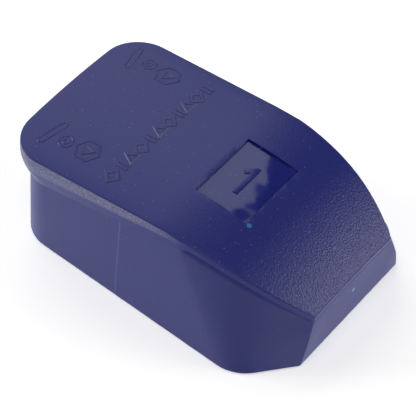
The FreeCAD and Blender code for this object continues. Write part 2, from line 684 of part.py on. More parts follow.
def rubber_sleeve(end, x):
    name = f"{end}_chalk_sleeve"
    body = new_body(name, x, "fits.plate_top_z")
    tube = square_sketch(body, f"{name}_tube", ["fits.sleeve_half", "fits.socket_half"])
    pad(body, f"{name}_tube_pad", tube, "dims.sleeve_tall")
    flange = square_sketch(body, f"{name}_foot", ["fits.flange_half", "fits.socket_half"])
    pad(body, f"{name}_foot_pad", flange, "dims.flange_thick")
    return body


def chalk_cube(end, x):
    name = f"{end}_chalk"
    body = new_body(name, x, "dims.chalk_z")
    sketch = square_sketch(body, f"{name}_square", ["dims.chalk_side / 2"])
    cube = pad(body, f"{name}_pad", sketch, "dims.chalk_tall")
    doc.recompute()
    bevel = body.newObject("PartDesign::Chamfer", f"{name}_bevel")
    bevel.Base = (cube, upright_edges(cube, value_of("dims.chalk_side / 2")))
    bevel.setExpression("Size", "dims.chalk_edge")
    dish = body.newObject("PartDesign::SubtractiveSphere", f"{name}_dish")
    dish.setExpression("Radius", "dims.dish_radius")
    dish.setExpression("Placement.Base.z", "dims.dish_depth - dims.dish_radius")
    body.Tip = dish
    return body


def paper_label(end, x):
    name = f"{end}_chalk_label"
    body = new_body(name, x, "fits.chalk_back_z - dims.label_tall")
    inner = "dims.chalk_side / 2"
    sketch = square_sketch(body, f"{name}_band", [f"{inner} + dims.label_thick", inner])
    pad(body, f"{name}_pad", sketch, "dims.label_tall")
    return body


def backing_pad(end, x):
    name = f"{end}_backing_pad"
    foam = block(f"{name}_blank", x, "fits.chalk_back_z + dims.pad_gap", "dims.pad_side", "dims.pad_side",
                 "dims.reach")
    return common(name, foam, ceiling)


SUB_PARTS = [cover, case_body, base_plate, base_screws, rubber_feet, magnet_pot, magnet]
for end, x in FRONT_AND_REAR:
    SUB_PARTS += [make(end, x) for make in (rubber_sleeve, chalk_cube, paper_label, backing_pad)]
doc.recompute()

for item in doc.Objects:
    if {"Invalid", "Error"} & set(item.State):
        raise RuntimeError(f"{item.Name} failed: {item.State}")
for part in SUB_PARTS:
    if part.Shape.isNull() or not part.Shape.isValid() or part.Shape.Volume <= 0:
        raise RuntimeError(f"{part.Label} has no valid shape")
os.makedirs("parts", exist_ok=True)
for part in SUB_PARTS:
    part.Shape.exportStep(f"parts/{part.Label}.step")
    print(f"{part.Label}: {len(part.Shape.Solids)} solid(s), {part.Shape.Volume:.1f} mm3")
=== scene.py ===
import math
import bmesh
import bpy
from mathutils import Matrix, Vector


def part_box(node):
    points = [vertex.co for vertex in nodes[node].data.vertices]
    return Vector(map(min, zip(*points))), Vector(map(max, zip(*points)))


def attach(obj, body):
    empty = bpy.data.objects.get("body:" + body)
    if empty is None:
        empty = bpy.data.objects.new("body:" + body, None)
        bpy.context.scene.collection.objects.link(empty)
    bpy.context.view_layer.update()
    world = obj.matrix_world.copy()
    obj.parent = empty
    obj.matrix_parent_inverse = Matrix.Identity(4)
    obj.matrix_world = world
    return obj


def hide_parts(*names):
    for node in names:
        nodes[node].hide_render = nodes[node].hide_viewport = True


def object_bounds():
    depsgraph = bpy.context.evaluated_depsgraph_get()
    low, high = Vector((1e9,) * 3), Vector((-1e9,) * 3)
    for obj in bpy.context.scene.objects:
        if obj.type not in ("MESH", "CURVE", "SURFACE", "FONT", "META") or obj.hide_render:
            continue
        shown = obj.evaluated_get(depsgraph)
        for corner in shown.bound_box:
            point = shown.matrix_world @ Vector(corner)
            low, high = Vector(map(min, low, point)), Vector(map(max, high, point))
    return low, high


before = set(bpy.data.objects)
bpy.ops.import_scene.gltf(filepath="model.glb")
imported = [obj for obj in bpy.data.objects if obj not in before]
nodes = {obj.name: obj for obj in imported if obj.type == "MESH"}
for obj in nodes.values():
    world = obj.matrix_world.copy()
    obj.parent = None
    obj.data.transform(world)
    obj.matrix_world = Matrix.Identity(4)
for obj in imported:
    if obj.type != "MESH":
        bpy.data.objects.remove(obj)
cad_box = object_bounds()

# ---------------------------------------------------------------------------------------------------------
# Camera and studio. A long lens looks down on the case's near side and nose. A broad softbox behind the left
# of the case lights the flat top, and smaller ones light the slope, the near side, the nose and the crown.
# The pale floor gives off a little light of its own, which keeps its shadow faint.
# ---------------------------------------------------------------------------------------------------------
low = Vector(cad_box[0])
azimuth, elevation, roll = math.radians(37.6), math.radians(46.24), math.radians(-0.67)
toward_camera = Vector((math.sin(azimuth) * math.cos(elevation), -math.cos(azimuth) * math.cos(elevation),
                        math.sin(elevation)))
level_right = (-toward_camera).cross(Vector((0, 0, 1))).normalized()
level_up = level_right.cross(-toward_camera)
right = math.cos(roll) * level_right + math.sin(roll) * level_up
up = math.cos(roll) * level_up - math.sin(roll) * level_right
camera_distance, aim_right, aim_down = 0.5529, 0.0325, 0.01068
aim = Vector((low.x, 0, 0.0003)) + aim_right * right - aim_down * up

camera_data = bpy.data.cameras.new("camera")
camera_data.lens = 196.0
camera_data.sensor_width = 36
camera_data.clip_start = 0.01
camera = bpy.data.objects.new("camera", camera_data)
camera.matrix_world = Matrix.Translation(aim + camera_distance * toward_camera) @ Matrix(
    (right, up, toward_camera)).transposed().to_4x4()
bpy.context.scene.collection.objects.link(camera)
bpy.context.scene.camera = camera


def softbox(name, place, size, power):
    """A rectangular lamp that faces the case."""
    lamp = bpy.data.lights.new(name, "AREA")
    lamp.shape = "RECTANGLE"
    lamp.size, lamp.size_y = size
    lamp.energy = power
    box = bpy.data.objects.new(name, lamp)
    box.location = place
    box.rotation_euler = (-Vector(place)).to_track_quat("-Z", "Y").to_euler()
    bpy.context.scene.collection.objects.link(box)


softbox("rear_left_box", (-0.6, 0.47, 0.66), (0.76, 0.76), 2.7)
softbox("right_back_box", (0.7, 0.6, 0.55), (0.4, 0.4), 2.8)
softbox("left_front_box", (-0.9, -0.4, 0.3), (0.5, 0.5), 6)
softbox("top_box", (0.1, -0.3, 1.1), (0.4, 0.4), 2.2)
softbox("nose_box", (0.95, 0.1, 0.2), (0.4, 0.3), 1.6)

world = bpy.data.worlds.new("studio")
world.use_nodes = True
sky = world.node_tree
white = sky.nodes["Background"]
white.inputs["Color"].default_value = (1, 1, 1, 1)
light_path = sky.nodes.new("ShaderNodeLightPath")
brightness = sky.nodes.new("ShaderNodeMapRange")
brightness.inputs["To Min"].default_value = 0.08
brightness.inputs["To Max"].default_value = 1.0
sky.links.new(light_path.outputs["Is Camera Ray"], brightness.inputs["Value"])
sky.links.new(brightness.outputs["Result"], white.inputs["Strength"])
bpy.context.scene.world = world
bpy.context.scene.view_settings.view_transform = "Standard"

floor_mesh = bpy.data.meshes.new("floor")
shape = bmesh.new()
bmesh.ops.create_grid(shape, x_segments=1, y_segments=1, size=3)
shape.to_mesh(floor_mesh)
floor = bpy.data.objects.new("floor", floor_mesh)
floor_paint = bpy.data.materials.new("pale_floor")
floor_paint.use_nodes = True
floor_paint.node_tree.nodes["Principled BSDF"].inputs["Base Color"].default_value = (0.93, 0.93, 0.93, 1)
floor_paint.node_tree.nodes["Principled BSDF"].inputs["Roughness"].default_value = 0.8
floor_paint.node_tree.nodes["Principled BSDF"].inputs["Emission Color"].default_value = (1, 1, 1, 1)
floor_paint.node_tree.nodes["Principled BSDF"].inputs["Emission Strength"].default_value = 0.46
floor_mesh.materials.append(floor_paint)
bpy.context.scene.collection.objects.link(floor)


# ---------------------------------------------------------------------------------------------------------
# Case body. The smooth lower half of the case: side walls that flare to a wide front, a chamfer at each
# front corner and a flat nose, moulded in one piece with the deck that the chalk sleeves stand through.
# ---------------------------------------------------------------------------------------------------------
mm = 0.001
middle = -low.x / mm
# The crown is the top's own. The raised marks on it stand 0.1 mm higher.
rim_z, crease_z, crown = 0.3, 26.4, 1.4
lip_half, slope_x, slope_radius = 24.0, 42.35, 63.19
wall, deck_top, deck_thick, half_hole = 1.8, 9.4, 1.6, 12.85
seam_rear_z, seam_rise, cover_edge, seam_gap = 17.9, 0.118, 1.2, 0.03
STEPS = {"rear": 9, "rear corner": 12, "side": 34, "front corner": 12, "chamfer": 16, "nose": 9}


def arc(start, end, radius, steps):
    """Points from a start to an end along an arc that bulges to the left of the chord, without the start."""
    chord = end - start
    inward = Vector((chord.y, -chord.x)).normalized()
    centre = (start + end) / 2 + inward * math.sqrt(max(radius ** 2 - chord.length ** 2 / 4, 0))
    spoke = start - centre
    turn = 2 * math.asin(min(chord.length / 2 / radius, 1))
    return [centre + Matrix.Rotation(-turn * step / steps, 2) @ spoke for step in range(1, steps + 1)]


def straight(start, end, steps):
    """Points from a start to an end along a line, without the start."""
    return [start.lerp(end, step / steps) for step in range(1, steps + 1)]


def rounded(before, corner, after, radius):
    """Where an arc of a radius meets the two straight sides of a corner."""
    into, out = (corner - before).normalized(), (after - corner).normalized()
    tangent = radius * (into - out).length / (into + out).length
    return corner - into * tangent, corner + out * tangent


def half_outline(rear, half, radius, corner, nose, front_radius=None, bow_radius=None):
    """The left half of the plan outline, from the middle of the rear to the middle of the nose."""
    back, corner, nose = Vector((rear, half)), Vector(corner), Vector(nose)
    bend, side = rounded(Vector((rear, 0)), back, corner, radius)
    points = [Vector((rear, 0))]
    points += straight(points[-1], bend, STEPS["rear"])
    points += arc(points[-1], side, radius, STEPS["rear corner"])
    if front_radius:
        turn, chamfer = rounded(back, corner, nose, front_radius)
        points += straight(points[-1], turn, STEPS["side"])
        points += arc(points[-1], chamfer, front_radius, STEPS["front corner"])
        points += straight(points[-1], nose, STEPS["chamfer"])
    else:
        points += straight(points[-1], corner, STEPS["side"])
        bow = arc(points[-1], nose, bow_radius, 2 * STEPS["front corner"] * STEPS["chamfer"])
        points += bow[STEPS["chamfer"] - 1:len(bow) // 2:STEPS["chamfer"]]
        points += bow[len(bow) // 2 + STEPS["front corner"] - 1::STEPS["front corner"]]
    return points + straight(points[-1], Vector((nose.x, 0)), STEPS["nose"])


def both_halves(half):
    """A whole outline from its left half."""
    return half + [Vector((point.x, -point.y)) for point in reversed(half[1:-1])]


base_outline = both_halves(half_outline(1.3, 24.4, 11.2, (70.9, 30.7), (81.2, 19.3), front_radius=10.0))
crease_outline = both_halves(half_outline(2.6, 22.9, 8.9, (49.6, 23.5), (82.7, 10.7), bow_radius=68.0))
corner_count = len(base_outline)


def top_z(x, y):
    """Height of the top face: a shallow crown, level at the rear and bending down to the nose."""
    crown_radius = (lip_half ** 2 + crown ** 2) / (2 * crown)
    rise = math.sqrt(crown_radius ** 2 - y ** 2) - crown_radius + crown
    run = max(x - slope_x, 0)
    return crease_z - slope_radius + math.sqrt((slope_radius + rise) ** 2 - run ** 2)


def seam_z(x, y):
    """Height of the parting line: a straight rise under the lip, then a little below the top face."""
    return min(seam_rear_z + seam_rise * x, top_z(x, y) - cover_edge)


def inset(points, depth):
    """An outline moved inwards by a depth, with its corners kept."""
    moved = []
    for index, point in enumerate(points):
        ahead = (points[(index + 1) % len(points)] - point).normalized()
        behind = (point - points[index - 1]).normalized()
        inward = Vector((ahead.y + behind.y, -ahead.x - behind.x)).normalized()
        moved.append(point + inward * depth / max(inward.dot(Vector((ahead.y, -ahead.x))), 0.5))
    return moved


def wall_ring(height, depth=0.0):
    """Points round the side wall, inset by a depth, where it meets a height or a height's function."""
    low_ring, high_ring = inset(base_outline, depth), inset(crease_outline, depth)
    ring = []
    for start, end in zip(low_ring, high_ring):
        share = 0.7
        for _ in range(25):
            spot = start.lerp(end, share)
            level = height(spot.x, spot.y) if callable(height) else height
            share = (level - rim_z) / (crease_z - rim_z)
        ring.append(Vector((*spot, level)))
    return ring


def first_ring(shape, ring):
    """A closed loop of vertices and edges."""
    verts = [shape.verts.new(point) for point in ring]
    for index, vert in enumerate(verts):
        shape.edges.new((verts[index - 1], vert))
    return verts


def next_ring(shape, verts, ring):
    """Draw the last ring's edges out to the next ring."""
    edges = [shape.edges.get((verts[index - 1], vert)) for index, vert in enumerate(verts)]
    drawn = bmesh.ops.extrude_edge_only(shape, edges=edges)["geom"]
    new_verts = {vert for vert in drawn if isinstance(vert, bmesh.types.BMVert)}
    out = []
    for vert, point in zip(verts, ring):
        partner = next(edge.other_vert(vert) for edge in vert.link_edges if edge.other_vert(vert) in new_verts)
        partner.co = point
        out.append(partner)
    return out


def finished(name, shape, body, *nodes, sharp=35.0):
    """Turn a shape in millimetres from the lip's rear edge into a piece in the frame."""
    bmesh.ops.remove_doubles(shape, verts=shape.verts, dist=1e-5)
    bmesh.ops.recalc_face_normals(shape, faces=shape.faces)
    bmesh.ops.translate(shape, verts=shape.verts, vec=(-middle, 0, 0))
    bmesh.ops.scale(shape, verts=shape.verts, vec=(mm, mm, mm))
    for face in shape.faces:
        face.smooth = True
    for edge in shape.edges:
        edge.smooth = edge.calc_face_angle(0) < math.radians(sharp)
    mesh = bpy.data.meshes.new(name)
    shape.to_mesh(mesh)
    shape.free()
    piece = bpy.data.objects.new(name, mesh)
    bpy.context.scene.collection.objects.link(piece)
    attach(piece, body)
    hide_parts(*nodes)
    return piece


def nose_bulge(ring):
    """Swell the wall's edges beside the nose, which bow out by half a millimetre at half height."""
    for point in ring:
        share = (point.z - rim_z) / 12.5
        beside = max(0.0, 1 - abs(abs(point.y) - 17.3) / 9) if point.x > 70 else 0.0
        if 0 < share < 1:
            swell = 0.55 * 4 * share * (1 - share) * beside ** 2
            point.x += swell * 0.75
            point.y += math.copysign(swell * 0.65, point.y)
    return ring


def moulded_edge(ring, drop):
    """The rim's edge isn't quite even, because of the gate and the mould's wear."""
    for point in ring:
        point.z += drop * (0.55 + 0.45 * math.sin(point.x * 0.9) * math.sin(point.x * 0.37 + point.y))
    return ring


shape = bmesh.new()
ring = first_ring(shape, wall_ring(rim_z, wall))
ring = next_ring(shape, ring, wall_ring(rim_z, 0.35))
ring = next_ring(shape, ring, moulded_edge(wall_ring(rim_z, 0.12), 0.05))
ring = next_ring(shape, ring, moulded_edge(wall_ring(rim_z + 0.12, 0.0), 0.12))
ring = next_ring(shape, ring, moulded_edge(wall_ring(rim_z + 0.35, 0.0), 0.1))
for share in (0.06, 0.14, 0.25, 0.37, 0.5, 0.63, 0.75, 0.86, 0.94):
    level = lambda x, y: rim_z + 0.35 + share * (seam_z(x, y) - seam_gap - rim_z - 0.35)
    ring = next_ring(shape, ring, nose_bulge(wall_ring(level)))
ring = next_ring(shape, ring, wall_ring(lambda x, y: seam_z(x, y) - seam_gap - 0.03))
ring = next_ring(shape, ring, wall_ring(lambda x, y: seam_z(x, y) - seam_gap, 0.03))
ring = next_ring(shape, ring, wall_ring(lambda x, y: seam_z(x, y) - seam_gap, wall))
ring = next_ring(shape, ring, wall_ring(deck_top, wall))
ring = next_ring(shape, ring, wall_ring(rim_z, wall))

deck = first_ring(shape, wall_ring(deck_top, wall - 0.4))
deck_edges = [edge for vert in deck for edge in vert.link_edges]
for sleeve in ("rear_chalk_sleeve", "front_chalk_sleeve"):
    corner_low, corner_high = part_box(sleeve)
    centre = (Vector(corner_low) + Vector(corner_high)) / 2 / mm
    square = first_ring(shape, [Vector((centre[0] + middle + x * half_hole, y * half_hole, deck_top))
                                for x, y in ((-1, -1), (1, -1), (1, 1), (-1, 1))])
    deck_edges += [edge for vert in square for edge in vert.link_edges]
filled = bmesh.ops.triangle_fill(shape, edges=list(dict.fromkeys(deck_edges)), use_beauty=True)["geom"]
deck_faces = [item for item in filled if isinstance(item, bmesh.types.BMFace)]
under = bmesh.ops.extrude_face_region(shape, geom=deck_faces, use_keep_orig=True)["geom"]
bmesh.ops.translate(shape, verts=[item for item in under if isinstance(item, bmesh.types.BMVert)],
                    vec=(0, 0, -deck_thick))
case_body = finished("case_body_shell", shape, "case", "case_body")


def node(tree, kind, inputs=(), **settings):
    """A shader node with its settings and its input sockets given as values or as links."""
    made = tree.nodes.new("ShaderNode" + kind)
    for setting, value in settings.items():
        setattr(made, setting, value)
    for socket, value in dict(inputs).items():
        if isinstance(value, bpy.types.NodeSocket):
            tree.links.new(value, made.inputs[socket])
        else:
            made.inputs[socket].default_value = value
    return made


def sum_of(tree, operation, *values):
    """The result of a Math node."""
    return node(tree, "Math", dict(enumerate(values)), operation=operation).outputs[0]


def blended(tree, share, first, second):
    """A colour that goes from a first to a second with a share."""
    made = node(tree, "Mix", {0: share}, data_type="RGBA")
    for socket, value in ((made.inputs[6], first), (made.inputs[7], second)):
        if isinstance(value, bpy.types.NodeSocket):
            tree.links.new(value, socket)
        else:
            socket.default_value = (*value, 1)
    return made.outputs[2]


def group(name, ins, outs):
    """An empty node group with number, vector or colour sockets."""
    tree = bpy.data.node_groups.new(name, "ShaderNodeTree")
    for socket, kind in ins:
        tree.interface.new_socket(socket, in_out="INPUT", socket_type="NodeSocket" + kind)
    for socket, kind in outs:
        tree.interface.new_socket(socket, in_out="OUTPUT", socket_type="NodeSocket" + kind)
    return tree, tree.nodes.new("NodeGroupInput").outputs, tree.nodes.new("NodeGroupOutput").inputs


def placed(tree, part, inputs):
    """The outputs of a node group that is put into a material."""
    return node(tree, "Group", inputs, node_tree=part).outputs


def painted(name, roughness, metallic=0.0):
    """A new material, its node tree, its shader and its place in millimetres on the object."""
    material = bpy.data.materials.new(name)
    material.use_nodes = True
    tree = material.node_tree
    shader = tree.nodes["Principled BSDF"]
    shader.inputs["Roughness"].default_value = roughness
    shader.inputs["Metallic"].default_value = metallic
    place = node(tree, "VectorMath", {0: node(tree, "TexCoord").outputs["Object"], "Scale": 1000.0},
                 operation="SCALE").outputs[0]
    return material, tree, shader, place


mottle, ins, outs = group("soft_mottle", (("Place", "Vector"), ("Size", "Float"), ("Depth", "Float")),
                          (("Shade", "Float"),))
cloud = node(mottle, "TexNoise", {"Vector": ins["Place"], "Detail": 3.0, "Roughness": 0.6,
                                  "Scale": sum_of(mottle, "DIVIDE", 1.0, ins["Size"])}).outputs["Fac"]
mottle.links.new(sum_of(mottle, "MULTIPLY_ADD", sum_of(mottle, "SUBTRACT", cloud, 0.5), ins["Depth"], 1.0),
                 outs["Shade"])

dust, ins, outs = group("dust_and_scratches", (("Place", "Vector"), ("Amount", "Float")), (("Mask", "Float"),))
speck_cell = node(dust, "TexVoronoi", {"Vector": ins["Place"], "Scale": 0.8})
speck = sum_of(dust, "LESS_THAN", speck_cell.outputs["Distance"], 0.085)
speck_draw = node(dust, "SeparateColor", {0: speck_cell.outputs["Color"]}).outputs[0]
chosen = sum_of(dust, "GREATER_THAN", speck_draw, 0.5)
turned = node(dust, "Mapping", {"Vector": ins["Place"], "Rotation": (0, 0, 0.7), "Scale": (0.12, 2.2, 1.0)})
scratch_cell = node(dust, "TexVoronoi", {"Vector": turned.outputs[0], "Scale": 0.5})
scratch = sum_of(dust, "LESS_THAN", scratch_cell.outputs["Distance"], 0.035)
scratch_draw = node(dust, "SeparateColor", {0: scratch_cell.outputs["Color"]}).outputs[0]
rare = sum_of(dust, "GREATER_THAN", scratch_draw, 0.8)
marks_of_use = sum_of(dust, "MAXIMUM", sum_of(dust, "MULTIPLY", speck, chosen),
                      sum_of(dust, "MULTIPLY", scratch, rare))
dust.links.new(sum_of(dust, "MULTIPLY", marks_of_use, ins["Amount"]), outs["Mask"])

smooth_plastic, tree, shader, place = painted("smooth_plastic", 0.4)
shade = placed(tree, mottle, {"Place": place, "Size": 7.0, "Depth": 0.35})["Shade"]
blue = blended(tree, shade, (0.008, 0.011, 0.09), (0.022, 0.027, 0.185))
x, y = node(tree, "SeparateXYZ", {0: place}).outputs[:2]
witness_x, witness_half = 34.4 - middle, 0.16
gate_spot, gate_radius = (81.6 - middle, 0.6, 8.6), 0.55
from_witness = sum_of(tree, "ABSOLUTE", sum_of(tree, "SUBTRACT", x, witness_x))
on_witness = sum_of(tree, "LESS_THAN", from_witness, witness_half)
near_side = sum_of(tree, "LESS_THAN", y, 0.0)
witness = sum_of(tree, "MULTIPLY", sum_of(tree, "MULTIPLY", on_witness, near_side), 0.16)
gate = node(tree, "VectorMath", {0: place, 1: gate_spot}, operation="DISTANCE").outputs["Value"]
gate_dot = sum_of(tree, "MULTIPLY", sum_of(tree, "LESS_THAN", gate, gate_radius), 0.8)
specks = placed(tree, dust, {"Place": place, "Amount": 0.25})["Mask"]
pale = sum_of(tree, "MAXIMUM", specks, sum_of(tree, "MAXIMUM", witness, gate_dot))
tree.links.new(blended(tree, pale, blue, (0.2, 0.34, 0.68)), shader.inputs["Base Color"])
ripple = placed(tree, mottle, {"Place": place, "Size": 4.0, "Depth": 1.0})["Shade"]
fine = placed(tree, mottle, {"Place": place, "Size": 0.5, "Depth": 0.35})["Shade"]
bump = node(tree, "Bump", {"Height": sum_of(tree, "ADD", sum_of(tree, "MULTIPLY", ripple, 0.4),
                                            sum_of(tree, "MULTIPLY", fine, 0.06)),
                           "Strength": 0.35, "Distance": 0.0003})
tree.links.new(bump.outputs[0], shader.inputs["Normal"])
tree.links.new(sum_of(tree, "MULTIPLY_ADD", shade, 0.22, 0.2), shader.inputs["Roughness"])
case_body.data.materials.append(smooth_plastic)

# ---------------------------------------------------------------------------------------------------------
# Cover. The grained top half that lifts off: a crowned top that bends down to the nose, a lip to grip it by
# round the rear, a polished recess with a raised digit, small raised marks on the top, and a thin rim below
# that fits inside the body.
# ---------------------------------------------------------------------------------------------------------
lip_plan = both_halves(half_outline(0.2, 24.0, 9.2, (49.6, 23.5), (82.7, 10.7), bow_radius=68.0))
cover_wall, rim_gap, rim_wall, rim_depth = 1.6, 0.2, 1.2, 2.0
band, band_bulge, crease_round = 3.8, 0.3, 0.22
recess_rear, recess_front, recess_half = slope_x + 2.7, slope_x + 16.8, 10.1
recess_rear_z, recess_fall = 26.94, 1.86
lip_count = 1 + STEPS["rear"] + STEPS["rear corner"] + STEPS["side"]

foot_ring = wall_ring(seam_z)
front_crease = wall_ring(top_z)
crease_ring = []
for index, point in enumerate(front_crease):
    from_rear = min(index, corner_count - index)
    if from_rear < lip_count:
        fade = max(0.0, min(1.0, (49.6 - lip_plan[index].x) / 6.0))
        plan = Vector(point.xy).lerp(lip_plan[index], 1.0 if fade >= 1 else fade * (2 - fade))
        crease_ring.append(Vector((*plan, top_z(*plan))))
    else:
        crease_ring.append(point.copy())


def curve(first, middle_point, last, share):
    """A point along the soft bend between two straight runs that meet at a middle point."""
    return first.lerp(middle_point, share).lerp(middle_point.lerp(last, share), share)


wide_ring = []
outward = [(plan - moved).normalized() for plan, moved in zip(lip_plan, inset(lip_plan, 1.0))]
for foot, crest, away in zip(foot_ring, crease_ring, outward):
    tall = crest.z - foot.z
    share = min(1.0, max(0.0, (tall - cover_edge) / 3.0))
    down = share * min(band, 0.55 * tall) + (1 - share) * 0.5 * tall
    level = crest.z - down
    straight_spot = foot.lerp(crest, (level - foot.z) / tall)
    spot = crest + Vector((*away, 0)) * band_bulge
    wide_ring.append(straight_spot.lerp(Vector((spot.x, spot.y, level)), share))

shape = bmesh.new()
grain = shape.verts.layers.float.new("grain")
polish = shape.verts.layers.float.new("polish")
painted_crease_shade = shape.verts.layers.float.new("painted_crease_shade")
# The band layer marks where the lip band gets a painted highlight.
band_painted_highlight = shape.verts.layers.float.new("band")
ring = first_ring(shape, foot_ring)


def grow(points, amount):
    """Draw the cover out to its next ring, with an amount of grain at each point."""
    global ring
    ring = next_ring(shape, ring, points)
    for vert, value in zip(ring, amount):
        vert[grain], vert[band_painted_highlight], vert[painted_crease_shade] = value, 0.0, 0.0


on_lip = [min(1.0, max(0.0, (crest.z - foot.z - cover_edge - 0.4) / 2.0))
          for foot, crest in zip(foot_ring, crease_ring)]
none = [0.0] * corner_count
for share in (0.12, 0.3, 0.5):
    grow([foot.lerp(wide, share) for foot, wide in zip(foot_ring, wide_ring)], none)
for step in range(7):
    grow([curve(foot.lerp(wide, 0.58), wide, wide.lerp(crest, 0.4), step / 6)
          for foot, wide, crest in zip(foot_ring, wide_ring, crease_ring)],
         [value * step / 6 for value in on_lip])
    for vert, value in zip(ring, on_lip):
        vert[band_painted_highlight] = value * max(0.0, min(1.0, (step - 1) / 3))
for share in (0.45, 0.6, 0.78, 0.88):
    grow([wide.lerp(crest, share) for wide, crest in zip(wide_ring, crease_ring)], on_lip)
    for vert, value in zip(ring, on_lip):
        vert[band_painted_highlight] = value
inner_crest = []
for spot in inset([Vector(point.xy) for point in crease_ring], crease_round):
    inner_crest.append(Vector((*spot, top_z(*spot))))
turn_shares = [min(crease_round / max((crest - wide).length, 0.1), 0.5)
               for wide, crest in zip(wide_ring, crease_ring)]
for step in range(5):
    grow([curve(crest.lerp(wide, part), crest, inner, step / 4)
          for wide, crest, inner, part in zip(wide_ring, crease_ring, inner_crest, turn_shares)],
         [value + (1 - value) * step / 4 for value in on_lip])
    # One ring in the crease's rounding gets a painted shade line along the lip.
    for vert, value in zip(ring, on_lip):
        vert[painted_crease_shade] = 0.6 * value * (step == 3)

top_parts = [shape.faces.new(ring)]


def slice_top(spot, normal, snap):
    """Cut the top face along a plane, so that it can be bent."""
    global top_parts
    geometry = top_parts + list({edge for face in top_parts for edge in face.edges}) + list(
        {vert for face in top_parts for vert in face.verts})
    pieces = bmesh.ops.bisect_plane(shape, geom=geometry, dist=snap, plane_co=spot, plane_no=normal)["geom"]
    top_parts = [piece for piece in pieces if isinstance(piece, bmesh.types.BMFace)]


stations = [vert.co.x for vert in ring[STEPS["rear"] + 3:corner_count // 2 - STEPS["nose"]]]
for x in stations:
    if min(abs(x - recess_rear), abs(x - recess_front)) > 0.45:
        slice_top((x, 0, 0), (1, 0, 0), 0.02)
for x in (recess_rear, recess_front):
    slice_top((x, 0, 0), (1, 0, 0), 0.0005)
for y in [vert.co.y for vert in ring[:STEPS["rear"] + 1]] + [17.6, 20.4]:
    if abs(abs(y) - recess_half) > 0.5:
        for side in ((y, -y) if y else (0,)):
            slice_top((0, side, 0), (0, 1, 0), 0.16)
for y in (-recess_half, recess_half):
    slice_top((0, y, 0), (0, 1, 0), 0.0005)
for vert in {vert for face in top_parts for vert in face.verts}:
    vert.co.z = top_z(vert.co.x, vert.co.y)
    vert[grain] = 1.0

pressed = [face for face in top_parts if recess_rear < face.calc_center_median().x < recess_front
           and abs(face.calc_center_median().y) < recess_half]
sunk = bmesh.ops.extrude_face_region(shape, geom=pressed)["geom"]
bmesh.ops.delete(shape, geom=[face for face in pressed if face.is_valid], context="FACES_ONLY")
for vert in (item for item in sunk if isinstance(item, bmesh.types.BMVert)):
    along, across = (vert.co.x - recess_rear) / (recess_front - recess_rear), vert.co.y / recess_half
    vert.co.z = (recess_rear_z - recess_fall * along + 0.1 * (1 - (2 * along - 1) ** 2)
                 + 0.06 * (1 - across ** 2))
    vert[grain] = 0.0
    vert[polish] = 1.0
rim_edges = [edge for edge in shape.edges if edge.calc_face_angle(0) > math.radians(60)
             and recess_rear - 0.01 < edge.verts[0].co.x < recess_front + 0.01
             and recess_rear - 0.01 < edge.verts[1].co.x < recess_front + 0.01
             and max(abs(vert.co.y) for vert in edge.verts) < recess_half + 0.01
             and not any(vert[polish] for vert in edge.verts)]
bmesh.ops.bevel(shape, geom=rim_edges, offset=0.1, segments=2, profile=0.5, affect="EDGES", material=-1)

inside = first_ring(shape, foot_ring)
for points in (wall_ring(seam_z, wall + rim_gap),
               [point - Vector((0, 0, rim_depth)) for point in wall_ring(seam_z, wall + rim_gap)],
               [point - Vector((0, 0, rim_depth)) for point in wall_ring(seam_z, wall + rim_gap + rim_wall)],
               wall_ring(lambda x, y: top_z(x, y) - cover_wall, wall + rim_gap + rim_wall)):
    inside = next_ring(shape, inside, points)
top_parts = [shape.faces.new(inside)]
for x in stations[::3]:
    slice_top((x, 0, 0), (1, 0, 0), 0.05)
for y in (-16, -8, 0, 8, 16):
    slice_top((0, y, 0), (0, 1, 0), 0.16)
for vert in {vert for face in top_parts for vert in face.verts}:
    vert.co.z = top_z(vert.co.x, vert.co.y) - cover_wall

digit = [shape.verts.new((x, y, 0)) for x, y in
         ((0.7, -4.7), (0.7, 4.7), (-0.2, 4.7), (-2.6, 2.3), (-1.7, 1.3), (-0.7, 2.3), (-0.7, -4.7))]
stem = shape.faces.new(digit)
stamp = bmesh.ops.extrude_face_region(shape, geom=[stem], use_keep_orig=True)["geom"]
raised_verts = [item for item in stamp if isinstance(item, bmesh.types.BMVert)]
bmesh.ops.translate(shape, verts=raised_verts, vec=(0, 0, 0.3))
top_edges = [edge for edge in shape.edges if all(vert in raised_verts for vert in edge.verts)]
softened = bmesh.ops.bevel(shape, geom=top_edges, offset=0.12, segments=2, profile=0.5, affect="EDGES",
                           material=-1)
digit_verts = set(digit) | {vert for vert in raised_verts if vert.is_valid} | set(softened["verts"])
pitch = math.atan2(recess_fall, recess_front - recess_rear)
bmesh.ops.rotate(shape, verts=list(digit_verts), cent=(0, 0, 0), matrix=Matrix.Rotation(pitch, 3, "Y"))
bmesh.ops.translate(shape, verts=list(digit_verts), vec=(
    (recess_rear + recess_front) / 2, 0, recess_rear_z - recess_fall / 2 + 0.04))


